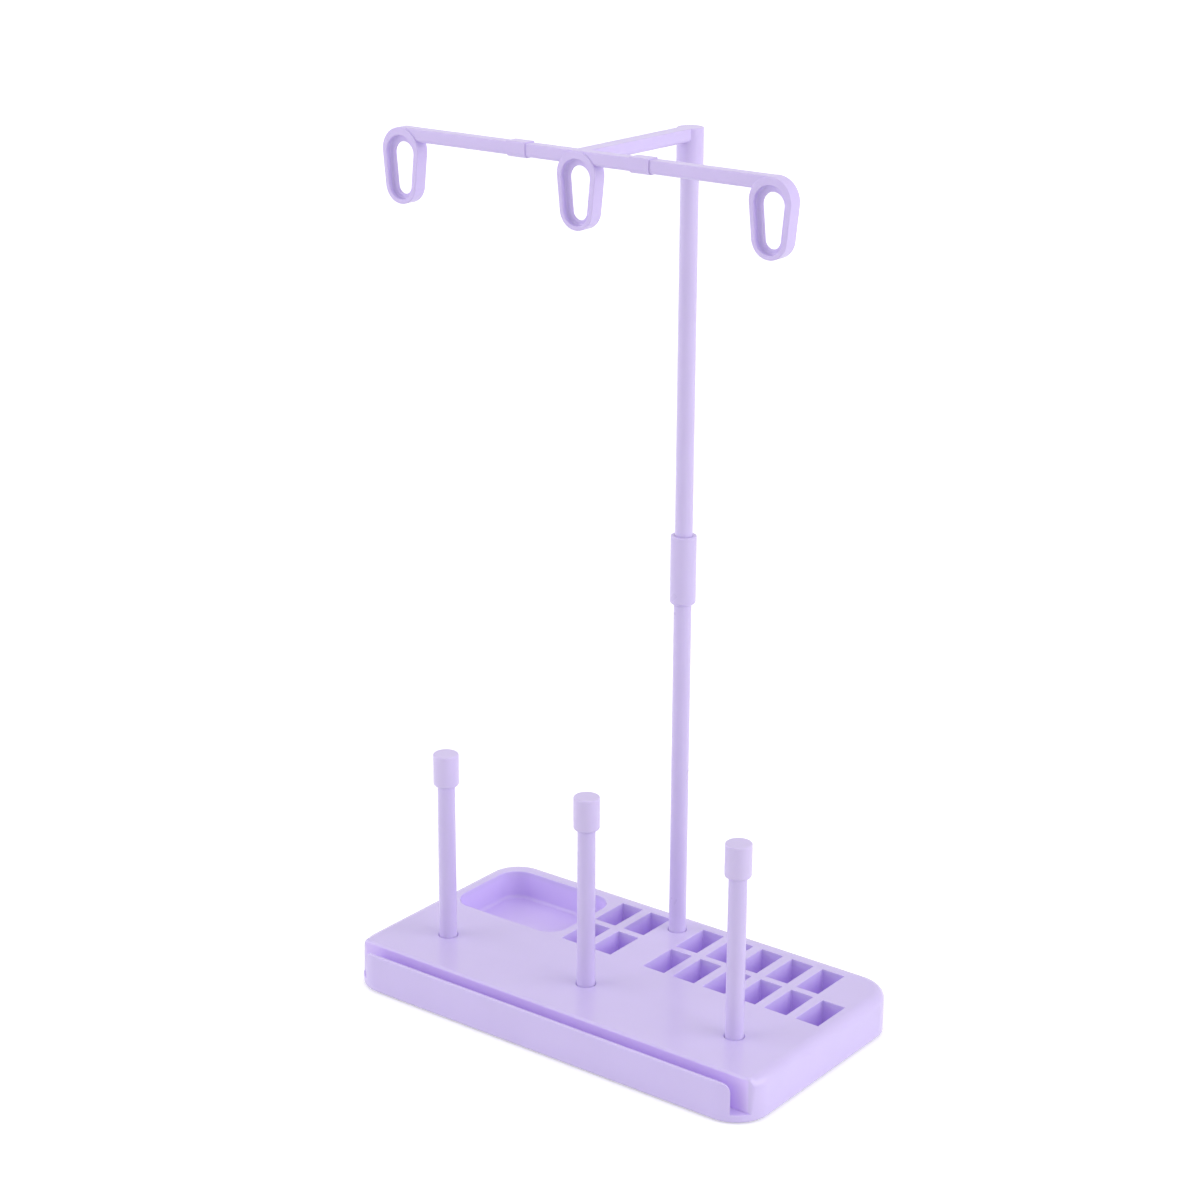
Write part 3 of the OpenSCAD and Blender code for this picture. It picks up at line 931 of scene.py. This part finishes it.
    def hollow(self) -> Workpiece:
        """Makes the space under the deck, round the pockets, sockets, ribs and pad seats.

        Returns:
            The solid that is taken out of the body.
        """
        flat = self.layout
        ceiling = flat.deck - self.deck_thickness
        low, top = self.floor - OVERLAP, ceiling + TOOL_HEIGHT
        space = self.slab("hollow", (-flat.half + self.wall, self.hollow_front, low),
                          (flat.half - self.wall, flat.back - self.wall, ceiling),
                          self.corner - self.wall, 16)
        space.round_edges(self.top_edge - self.wall, 5, level(ceiling))
        skin = self.pocket_wall
        shell_low = flat.deck - self.cell[2] - skin
        shells = []
        for x, y in self.cell_places():
            shell = Workpiece.block("shell", (x - skin, y - skin, shell_low),
                                    (x + self.cell[0] + skin, y + self.cell[1] + skin, top))
            shell.round_edges(self.cell_floor_edge, 2, level(shell_low))
            shells.append(shell)
        space.cut(shells)
        tray = self.slab("tray_shell", tuple(c - skin for c in self.tray_low),
                         (self.tray_high[0] + skin, self.tray_high[1] + skin, top),
                         self.tray_corner + skin, self.tray_corner_steps)
        tray.round_edges(self.tray_floor_edge, self.tray_floor_steps, level(self.tray_low[2] - skin))
        space.cut([tray])
        rib_low, thin = self.floor + self.rib_setback, self.rib / 2
        ribs = [x * flat.pin_spacing for x in self.rib_places]
        space.cut([Workpiece.block("rib", (x - thin, self.hollow_front - 2 * OVERLAP, rib_low),
                                   (x + thin, self.front_row - skin / 2, top)) for x in ribs])
        space.cut([Workpiece.block("long_rib", (-flat.half - OVERLAP, flat.pins_y - thin, rib_low),
                                   (flat.half + OVERLAP, flat.pins_y + thin, top))])
        boss_low = flat.socket_floor - self.socket_wall
        space.cut([Workpiece.rod("boss", bore + self.socket_wall, (x, y, boss_low), self.through, 64)
                   for bore, x, y in self.socket_places()])
        space.cut([Workpiece.rod("seat", self.pad_seat + skin, (x, y, self.floor), self.through, 64)
                   for _, x, y in self.pad_places()])
        groove = flat.half - self.corner
        return space.gather([Workpiece.block(
            "groove", (-groove, flat.front + self.wall, low),
            (groove, self.slot_back, self.slot_low - self.slot_floor_thickness))])

    def pocket(self, name: str, low: Point, high: Point, corner: tuple[float, int], floor: tuple[float, int],
               rim: float) -> Workpiece:
        """Makes a pocket's tool, whose neck is hollowed so that the pocket's rim comes out round.

        Args:
            name: The name of the new piece.
            low: The pocket's lowest corner.
            high: Its highest corner; the height is the deck's.
            corner: The radius of its upright corners, and how many faces such a corner gets.
            floor: The radius between its floor and walls, and how many faces that gets.
            rim: The radius of its rim.

        Returns:
            The tool.
        """
        margin = rim + RIM_MARGIN
        deck = self.layout.deck + RIM_LIFT
        tool = Workpiece.block(name, (low[0] - margin, low[1] - margin, deck),
                               (high[0] + margin, high[1] + margin, deck + TOOL_HEIGHT))
        tool.step_in(looks_down, margin, low[2] - deck)
        tool.round_edges(*corner, lambda a, b: upright(a, b) and min(a.z, b.z) < deck - OVERLAP)
        tool.round_edges(*floor, level(low[2]))
        tool.round_edges(rim, 4, level(deck), bend=Bend.INWARD)
        return tool

    def socket(self, bore: float, x: float, y: float) -> Workpiece:
        """Makes the tool for one round socket with its chamfered mouth.

        Args:
            bore: The radius of the bore.
            x: The x of its middle.
            y: The y of its middle.

        Returns:
            The tool.
        """
        deck = self.layout.deck + RIM_LIFT
        border = self.mouth + RIM_MARGIN
        tool = Workpiece.rod("socket", bore + border, (x, y, deck), TOOL_HEIGHT)
        tool.step_in(looks_down, border, self.layout.socket_floor - deck)
        tool.round_edges(self.mouth, 1, level(deck), bend=Bend.INWARD)
        return tool

    def build(self) -> bpy.types.Object:
        """Builds the whole base.

        Returns:
            The finished object.
        """
        body = self.outer_body()
        body.cut([self.hollow()])
        deck, steps = self.layout.deck, self.cell_steps
        tools = [self.pocket("cell", (x, y, deck - self.cell[2]), (x + self.cell[0], y + self.cell[1], deck),
                             (self.cell_corner, steps), (self.cell_floor_edge, steps), self.cell_rim)
                 for x, y in self.cell_places()]
        tools.append(self.pocket("tray", self.tray_low, self.tray_high,
                                 (self.tray_corner, self.tray_corner_steps),
                                 (self.tray_floor_edge, self.tray_floor_steps), self.tray_rim))
        tools += [self.socket(*place) for place in self.socket_places()]
        tools += [Workpiece.rod("pad_seat", self.pad_seat, (x, y, self.floor - OVERLAP),
                                OVERLAP + self.pad_recess) for _, x, y in self.pad_places()]
        body.cut(tools)
        return body.finish()

    def dress(self, thing: bpy.types.Object, dresser: Dresser) -> None:
        """Gives the base its finish."""
        dresser.dress(thing, BASE_PLASTIC, "base_plastic", "stand", "base")


@dataclass
class AntiSlipPads:
    """The four round pads in their seats under the base."""

    base: MouldedBase
    radius: float = 7.0
    thickness: float = 1.5
    edge: float = 0.4
    rim: float = 1.4
    dish: float = 0.15
    dish_slope: float = 0.3

    def build(self) -> dict[str, bpy.types.Object]:
        """Builds the pads, each a little dished on its underside.

        Returns:
            The finished objects by place.
        """
        pads = {}
        for place, x, y in self.base.pad_places():
            pad = Workpiece.rod(f"pad_{place}", self.radius, (x, y, 0), self.thickness)
            pad.round_edges(self.edge, 3, level(0))
            with pad.edit():
                pad.pick_faces(lambda c, n: n.z < -0.9 and near(c.z, 0))
                inset(self.rim)
                inset(self.dish_slope, -self.dish)
            pads[place] = pad.finish()
        return pads

    def dress(self, pads: dict[str, bpy.types.Object], dresser: Dresser) -> None:
        """Gives the pads their finish."""
        for place, pad in pads.items():
            dresser.dress(pad, PAD_RUBBER, "foot_rubber", "stand", f"foot_{place}")


@dataclass
class SpoolPins:
    """The three spool pins and their caps."""

    layout: Layout
    foot_radius: float = 4.25
    top_radius: float = 4.1
    reach: float = 77.0
    end_edge: float = 0.6
    cap_radius: float = 6.0
    cap_height: float = 15.8
    cap_end: float = 3.0
    cap_top_edge: float = 0.7
    cap_mouth_edge: float = 1.2

    def __post_init__(self) -> None:
        """Works out the shared lines."""
        self.cap_low = self.layout.deck + self.reach
        self.cap_bore = self.cap_height - self.cap_end

    def pin(self, name: str, x: float) -> Workpiece:
        """Makes one pin: a straight foot, a slight taper and a straight tip.

        Args:
            name: The name of the new piece.
            x: The x of its middle.

        Returns:
            The pin.
        """
        flat = self.layout
        low, high = flat.socket_floor, self.cap_low + self.cap_bore
        ratio = self.top_radius / self.foot_radius
        pin = Workpiece.rod(name, self.foot_radius, (x, flat.pins_y, low), flat.socket_depth)
        with pin.edit():
            pin.pick_faces(looks_up)
            pull(self.reach)
            bpy.ops.transform.resize(value=(ratio, ratio, 1), center_override=(x, flat.pins_y, self.cap_low))
            pull(self.cap_bore)
        pin.round_edges(self.end_edge, 3, lambda a, b: level(low)(a, b) or level(high)(a, b))
        return pin

    def cap(self, name: str, x: float) -> Workpiece:
        """Makes one cap, open at its foot.

        Args:
            name: The name of the new piece.
            x: The x of its middle.

        Returns:
            The cap.
        """
        flat = self.layout
        low = self.cap_low
        cap = Workpiece.rod(name, self.cap_radius, (x, flat.pins_y, low), self.cap_height, 128)
        cap.step_in(looks_down, self.cap_radius - self.top_radius - flat.rod_gap, self.cap_bore)
        cap.round_edges(self.cap_top_edge, 5, level(low + self.cap_height))

        def outer_ring(a: Vector, b: Vector) -> bool:
            """Picks the outer ring of the mouth."""
            return level(low)(a, b) and math.hypot(a.x - x, a.y - flat.pins_y) > self.cap_radius - 0.1

        cap.round_edges(self.cap_mouth_edge, 6, outer_ring)
        return cap

    def build(self) -> dict[str, tuple[bpy.types.Object, bpy.types.Object]]:
        """Builds the pins and caps."""
        return {place: (self.pin(f"pin_{place}", x).finish(), self.cap(f"cap_{place}", x).finish())
                for place, x in self.layout.pin_places()}

    def dress(self, pairs: dict[str, tuple[bpy.types.Object, bpy.types.Object]], dresser: Dresser) -> None:
        """Gives the pins and caps their finish.

        Args:
            pairs: Each pin with its cap, by place.
            dresser: What gives them their finish.
        """
        for place, (pin, cap) in pairs.items():
            dresser.dress(pin, PIN_PLASTIC, "pin_plastic", f"pin_{place}", f"spool_pin_{place}")
            dresser.dress(cap, CAP_PLASTIC, "cap_plastic", f"cap_{place}", f"pin_cap_{place}")


@dataclass
class TwoPartPole:
    """The two halves of the pole and the coupler between them."""

    layout: Layout
    radius: float = 4.1
    lower_reach: float = 165.0
    upper_reach: float = 165.0
    end_edge: float = 0.6
    coupler_radius: float = 6.0
    coupler_height: float = 32.7
    coupler_stop: float = 2.0
    coupler_foot_edge: float = 1.4
    coupler_rim_edge: float = 0.4
    coupler_bore_edge: float = 0.3
    head_height: float = 20.5
    head_end: float = 5.0

    def __post_init__(self) -> None:
        """Works out the shared lines."""
        self.bore = self.radius + self.layout.rod_gap
        self.coupler_low = self.layout.deck + self.lower_reach
        self.coupler_high = self.coupler_low + self.coupler_height
        self.head_low = self.coupler_high + self.upper_reach

    def half_pole(self, name: str, low: float, high: float) -> bpy.types.Object:
        """Makes one half of the pole.

        Args:
            name: The name of the new piece.
            low: The height of its foot.
            high: The height of its top.

        Returns:
            The finished object.
        """
        rod = Workpiece.rod(name, self.radius, (0, self.layout.pole_y, low), high - low)
        rod.round_edges(self.end_edge, 3, lambda a, b: near(a.z, b.z))
        return rod.finish()

    def coupler(self) -> bpy.types.Object:
        """Makes the coupler, with a stop between its two bores.

        Returns:
            The finished object.
        """
        y = self.layout.pole_y
        low, high = self.coupler_low, self.coupler_high
        deep = (self.coupler_height - self.coupler_stop) / 2
        sleeve = Workpiece.rod("pole_sleeve", self.coupler_radius, (0, y, low), self.coupler_height, 128)
        for side, rise in ((looks_down, deep), (looks_up, -deep)):
            sleeve.step_in(side, self.coupler_radius - self.bore, rise)

        def outside(a: Vector) -> bool:
            """Says whether a point is on the outside."""
            return math.hypot(a.x, a.y - y) > (self.bore + self.coupler_radius) / 2

        sleeve.round_edges(self.coupler_foot_edge, 6, lambda a, b: level(low)(a, b) and outside(a))
        sleeve.round_edges(self.coupler_rim_edge, 4, lambda a, b: level(high)(a, b) and outside(a))
        sleeve.round_edges(self.coupler_bore_edge, 2, lambda a, b: level(high)(a, b) and not outside(a))
        return sleeve.finish()

    def build(self) -> dict[str, bpy.types.Object]:
        """Builds the pole.

        Returns:
            The finished objects by their CAD node.
        """
        middle = self.coupler_low + self.coupler_height / 2
        stop = self.coupler_stop / 2
        return {
            "lower_pole": self.half_pole("pole_lower_half", self.layout.socket_floor, middle - stop),
            "pole_coupler": self.coupler(),
            "upper_pole": self.half_pole("pole_upper_half", middle + stop,
                                         self.head_low + self.head_height - self.head_end),
        }

    def dress(self, parts: dict[str, bpy.types.Object], dresser: Dresser) -> None:
        """Gives the pole its finish.

        Args:
            parts: The finished objects by their CAD node.
            dresser: What gives them their finish.
        """
        bodies = {"lower_pole": "lower_mast", "pole_coupler": "lower_mast", "upper_pole": "upper_mast"}
        for node, thing in parts.items():
            dresser.dress(thing, POLE_PLASTIC, "pole_plastic", bodies[node], node)


@dataclass
class ThreadGuides:
    """The bracket on the pole and the two guide arms, with their three thread loops."""

    pole: TwoPartPole
    head_radius: float = 6.0
    head_edge: float = 0.6
    arm_reach: float = 77.8
    arm_width: float = 7.5
    arm_height: float = 6.0
    arm_edge: float = 2.0
    bar_depth: float = 5.6
    bar_height: float = 5.8
    bar_edge: float = 1.7
    top_edge: float = 0.35
    collar_end: float = 37.0
    bar_setback: float = 0.5  # how far inside the collars the bar ends
    collar_length: float = 10.0
    collar_proud: float = 0.55
    collar_edge: float = 0.25
    tongue: float = 4.0
    tongue_length: float = 8.5
    tongue_gap: float = 0.1
    tongue_edge: float = 0.3
    loop_spacing: float = 96.1
    loop_depth: float = 6.7
    loop_radii: tuple[float, float] = (10.1, 8.55)
    loop_height: float = 33.3
    loop_edge: float = 0.4
    recess_radii: tuple[float, float] = (7.8, 6.6)
    recess_drop: float = 11.2
    recess_run: float = 13.5
    recess_edge: float = 0.8
    recess_rim: float = 0.3
    web: float = 1.4
    hole_radii: tuple[float, float] = (5.15, 3.8)
    hole_drop: float = 11.6
    hole_run: float = 13.8
    hole_rim: float = 0.4
    plane_slack: float = 0.004

    def __post_init__(self) -> None:
        """Works out the shared lines."""
        self.top = self.pole.head_low + self.pole.head_height
        self.bar_y = self.pole.layout.pole_y - self.arm_reach
        self.bar_middle = self.top - self.bar_height / 2

    def square_rod(self, name: str, from_x: float, to_x: float, half: float) -> Workpiece:
        """Makes a square rod along the crossbar's middle."""
        ends = sorted((from_x, to_x))
        return Workpiece.block(name, (ends[0], self.bar_y - half, self.bar_middle - half),
                               (ends[1], self.bar_y + half, self.bar_middle + half))

    def bar(self, name: str, from_x: float, to_x: float, swell: float) -> Workpiece:
        """Makes a stretch of crossbar with round lower edges.

        Args:
            name: The name of the new piece.
            from_x: Where it starts.
            to_x: Where it ends.
            swell: How far it stands out all round.

        Returns:
            The new piece.
        """
        half = self.bar_depth / 2 + swell
        low, high = self.top - self.bar_height - swell, self.top + swell
        piece = Workpiece.block(name, (from_x, self.bar_y - half, low), (to_x, self.bar_y + half, high))
        piece.round_edges(self.bar_edge + swell, 6, lambda a, b: level(low)(a, b) and not near(a.x, b.x))
        piece.round_edges(self.top_edge, 3, lambda a, b: level(high)(a, b) and not near(a.x, b.x))
        return piece

    def loop_body(self, x: float) -> Workpiece:
        """Makes one loop's outer form, its two face edges softened.

        Args:
            x: The loop's middle.

        Returns:
            The new piece.
        """
        top_radius, bottom_radius = self.loop_radii
        body = Workpiece.drop("loop", (x, self.bar_y, self.top - top_radius), top_radius, bottom_radius,
                              self.loop_height - top_radius - bottom_radius, self.loop_depth)
        body.round_edges(self.loop_edge, 3, lambda a, b: near(a.y, b.y)
                         and near(abs(a.y - self.bar_y), self.loop_depth / 2))
        return body

    def pierce(self, piece: Workpiece, x: float) -> None:
        """Cuts a loop's two recesses and its thread hole, and softens their edges.

        Args:
            piece: The solid that carries the loop.
            x: The loop's middle.
        """
        recess = (self.loop_depth - self.web) / 2
        for side in (-1, 1):
            middle = (x, self.bar_y + side * (self.web + recess + OVERLAP) / 2, self.top - self.recess_drop)
            tool = Workpiece.drop("recess", middle, *self.recess_radii, self.recess_run, recess + OVERLAP)
            inner = self.bar_y + side * self.web / 2
            tool.round_edges(self.recess_edge, 5, lambda a, b: near(a.y, inner) and near(b.y, inner))
            piece.act(tool, Join.CUT)
        piece.act(Workpiece.drop("hole", (x, self.bar_y, self.top - self.hole_drop), *self.hole_radii,
                                 self.hole_run, self.loop_depth + 2 * OVERLAP), Join.CUT)

        def on_loop(a: Vector, b: Vector, reach: float) -> bool:
            """Says whether an edge lies in one plane of this loop."""
            slack = self.plane_slack
            return (near(a.y, b.y, slack) and near(abs(a.y - self.bar_y), reach, slack)
                    and abs(a.x - x) < self.loop_radii[0] - 0.6)

        for rim, reach in ((self.hole_rim, self.web / 2), (self.recess_rim, self.loop_depth / 2)):
            piece.round_edges(rim, 3, lambda a, b: on_loop(a, b, reach), bend=Bend.OUTWARD)

    def bracket(self) -> bpy.types.Object:
        """Makes the bracket: head, arm, middle of the crossbar, collars and middle loop.

        Returns:
            The finished object.
        """
        pole = self.pole
        y = pole.layout.pole_y
        piece = Workpiece.rod("bracket_moulding", self.head_radius, (0, y, pole.head_low),
                              pole.head_height, 128)
        piece.round_edges(self.head_edge, 4, lambda a, b: near(a.z, b.z))
        half = self.arm_width / 2
        arm_low = self.top - self.arm_height
        arm = Workpiece.block("arm", (-half, self.bar_y, arm_low), (half, y, self.top))
        arm.round_edges(self.arm_edge, 6, lambda a, b: level(arm_low)(a, b) and near(a.x, b.x))
        arm.round_edges(self.top_edge, 3, lambda a, b: level(self.top)(a, b) and near(a.x, b.x))
        piece.act(arm, Join.ADD)
        bar_end = self.collar_end - self.bar_setback
        piece.act(self.bar("bar", -bar_end, bar_end, 0), Join.ADD)
        for side in (-1, 1):
            ends = sorted((side * self.collar_end, side * (self.collar_end - self.collar_length)))
            collar = self.bar("collar", *ends, self.collar_proud)
            collar.round_edges(self.collar_edge, 2, lambda a, b: near(a.x, b.x))
            piece.act(collar, Join.ADD)
        piece.act(self.loop_body(0), Join.ADD)
        self.pierce(piece, 0)
        piece.act(Workpiece.rod("bore", pole.bore, (0, y, pole.head_low - OVERLAP),
                                pole.head_height - pole.head_end + OVERLAP), Join.CUT)
        deep = self.collar_end - self.tongue_length - self.tongue_gap
        for side in (-1, 1):
            piece.act(self.square_rod("mortise", side * deep, side * (self.collar_end + OVERLAP),
                                      self.tongue / 2 + self.tongue_gap), Join.CUT)
        return piece.finish()

    def arm(self) -> Workpiece:
        """Makes the right guide arm: tongue, bar and loop.

        Returns:
            The arm.
        """
        start = self.collar_end + self.tongue_gap
        tip = self.collar_end - self.tongue_length
        arm = self.bar("arm_right", start, self.loop_spacing, 0)
        tongue = self.square_rod("tongue", tip, start + self.bar_depth, self.tongue / 2)
        tongue.round_edges(self.tongue_edge, 2, lambda a, b: near(a.x, b.x) and near(a.x, tip))
        arm.act(tongue, Join.ADD)
        arm.act(self.loop_body(self.loop_spacing), Join.ADD)
        self.pierce(arm, self.loop_spacing)
        return arm

    def build(self) -> dict[str, bpy.types.Object]:
        """Builds the bracket and the arms.

        Returns:
            The finished objects by their CAD node.
        """
        right = self.arm()
        left = right.mirrored("arm_left")
        return {"top_bracket": self.bracket(), "right_guide_arm": right.finish(),
                "left_guide_arm": left.finish()}

    def dress(self, parts: dict[str, bpy.types.Object], dresser: Dresser) -> None:
        """Gives the bracket and arms their finish.

        Args:
            parts: The finished objects by their CAD node.
            dresser: What gives them their finish.
        """
        bodies = {"top_bracket": "bracket", "right_guide_arm": "right_arm", "left_guide_arm": "left_arm"}
        for node, thing in parts.items():
            dresser.dress(thing, BAR_PLASTIC, "bar_plastic", bodies[node], node)


@dataclass(frozen=True)
class SoftLamp:
    """One large soft lamp."""

    name: str
    place: Point
    aim: Point
    size: float
    power: float

    def hang(self) -> None:
        """Hangs the lamp."""
        clear_bench()
        bpy.ops.object.light_add(type="AREA", location=self.place)
        thing = bpy.context.object
        thing.name = self.name
        thing.data.shape = "DISK"
        thing.data.size = self.size
        thing.data.energy = self.power
        look = Vector(self.aim) - Vector(self.place)
        thing.rotation_euler = look.to_track_quat("-Z", "Y").to_euler()


@dataclass
class Studio:
    """Pale floor, soft lamps, white surroundings and the camera."""

    lamps: tuple[SoftLamp, ...] = (
        SoftLamp("lamp_right", (4.6, 1.0, 1.8), (0, 0, 0.15), 5.4, 150.0),
        SoftLamp("lamp_left", (-2.7, -2.2, 1.2), (0, 0, 0.15), 4.0, 66.0),
        SoftLamp("lamp_top", (-0.3, 0.3, 3.2), (0, 0, 0.1), 3.0, 15.0),
    )
    floor_size: float = 14.0
    world_level: float = 0.53
    paper: Colour = (0.88, 0.88, 0.89, 1)
    near_glow: float = 0.36
    far_glow: float = 0.55
    near_end: float = 0.35
    far_start: float = 3.0
    camera_place: Point = (0.68077, -0.91333, 0.58945)
    camera_aim: Point = (-0.57216, 0.75368, -0.32342)
    camera_roll: float = 0.00594
    lens: float = 81.198

    def floor(self) -> None:
        """Lays the floor, white to the camera but for the rack's own shadow."""
        clear_bench()
        bpy.ops.mesh.primitive_grid_add(x_subdivisions=8, y_subdivisions=8, size=self.floor_size,
                                        location=(0, 0, 0))
        floor = bpy.context.object
        floor.name = "studio_floor"
        made = bpy.data.materials.new("studio_paper")
        graph = ShaderGraph(made)
        away = graph.wire("ShaderNodeVectorMath", {"operation": "LENGTH"}, {0: graph.place()}, output="Value")
        fade = graph.ramp(away, self.near_end, self.far_start, self.near_glow, self.far_glow)
        matte = graph.wire("ShaderNodeBsdfDiffuse", {}, {"Color": self.paper})
        glow = graph.wire("ShaderNodeEmission", {}, {"Color": WHITE, "Strength": graph.watched() * fade})
        graph.close(graph.wire("ShaderNodeAddShader", {}, {0: matte, 1: glow}))
        floor.data.materials.append(made)

    def surroundings(self) -> None:
        """Sets the white world, plain white to the camera."""
        world = bpy.data.worlds.new("studio_world")
        bpy.context.scene.world = world
        graph = ShaderGraph(world)
        level_seen = graph.watched() * (1.0 - self.world_level) + self.world_level
        sky = graph.wire("ShaderNodeBackground", {}, {"Color": WHITE, "Strength": level_seen})
        graph.close(sky, "ShaderNodeOutputWorld")

    def camera(self) -> None:
        """Sets the camera where the photographer's stood."""
        clear_bench()
        bpy.ops.object.camera_add(location=self.camera_place)
        camera = bpy.context.object
        camera.name = "photo_camera"
        forward = Vector(self.camera_aim).normalized()
        right = forward.cross(Vector((0, 0, 1))).normalized()
        up = right.cross(forward)
        turn_c, turn_s = math.cos(self.camera_roll), math.sin(self.camera_roll)
        axes = Matrix((turn_c * right + turn_s * up, -turn_s * right + turn_c * up, -forward))
        camera.matrix_world = Matrix.Translation(self.camera_place) @ axes.transposed().to_4x4()
        camera.data.lens = self.lens
        camera.data.sensor_width = 36.0
        camera.data.clip_start = 0.05
        camera.data.clip_end = 60.0
        bpy.context.scene.camera = camera

    def build(self) -> None:
        """Sets up the whole studio."""
        bpy.context.scene.view_settings.view_transform = "Standard"
        self.camera()
        self.floor()
        self.surroundings()
        for lamp in self.lamps:
            lamp.hang()


def main() -> None:
    """Builds, dresses and reports every piece."""
    logging.basicConfig(level=logging.INFO, format="%(name)s %(message)s")
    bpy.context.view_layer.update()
    layout = Layout()
    dresser = Dresser()
    base = MouldedBase(layout)
    base.dress(base.build(), dresser)
    pads = AntiSlipPads(base)
    pads.dress(pads.build(), dresser)
    pins = SpoolPins(layout)
    pins.dress(pins.build(), dresser)
    pole = TwoPartPole(layout)
    pole.dress(pole.build(), dresser)
    guides = ThreadGuides(pole)
    guides.dress(guides.build(), dresser)
    Studio().build()


if __name__ == "__main__":
    main()
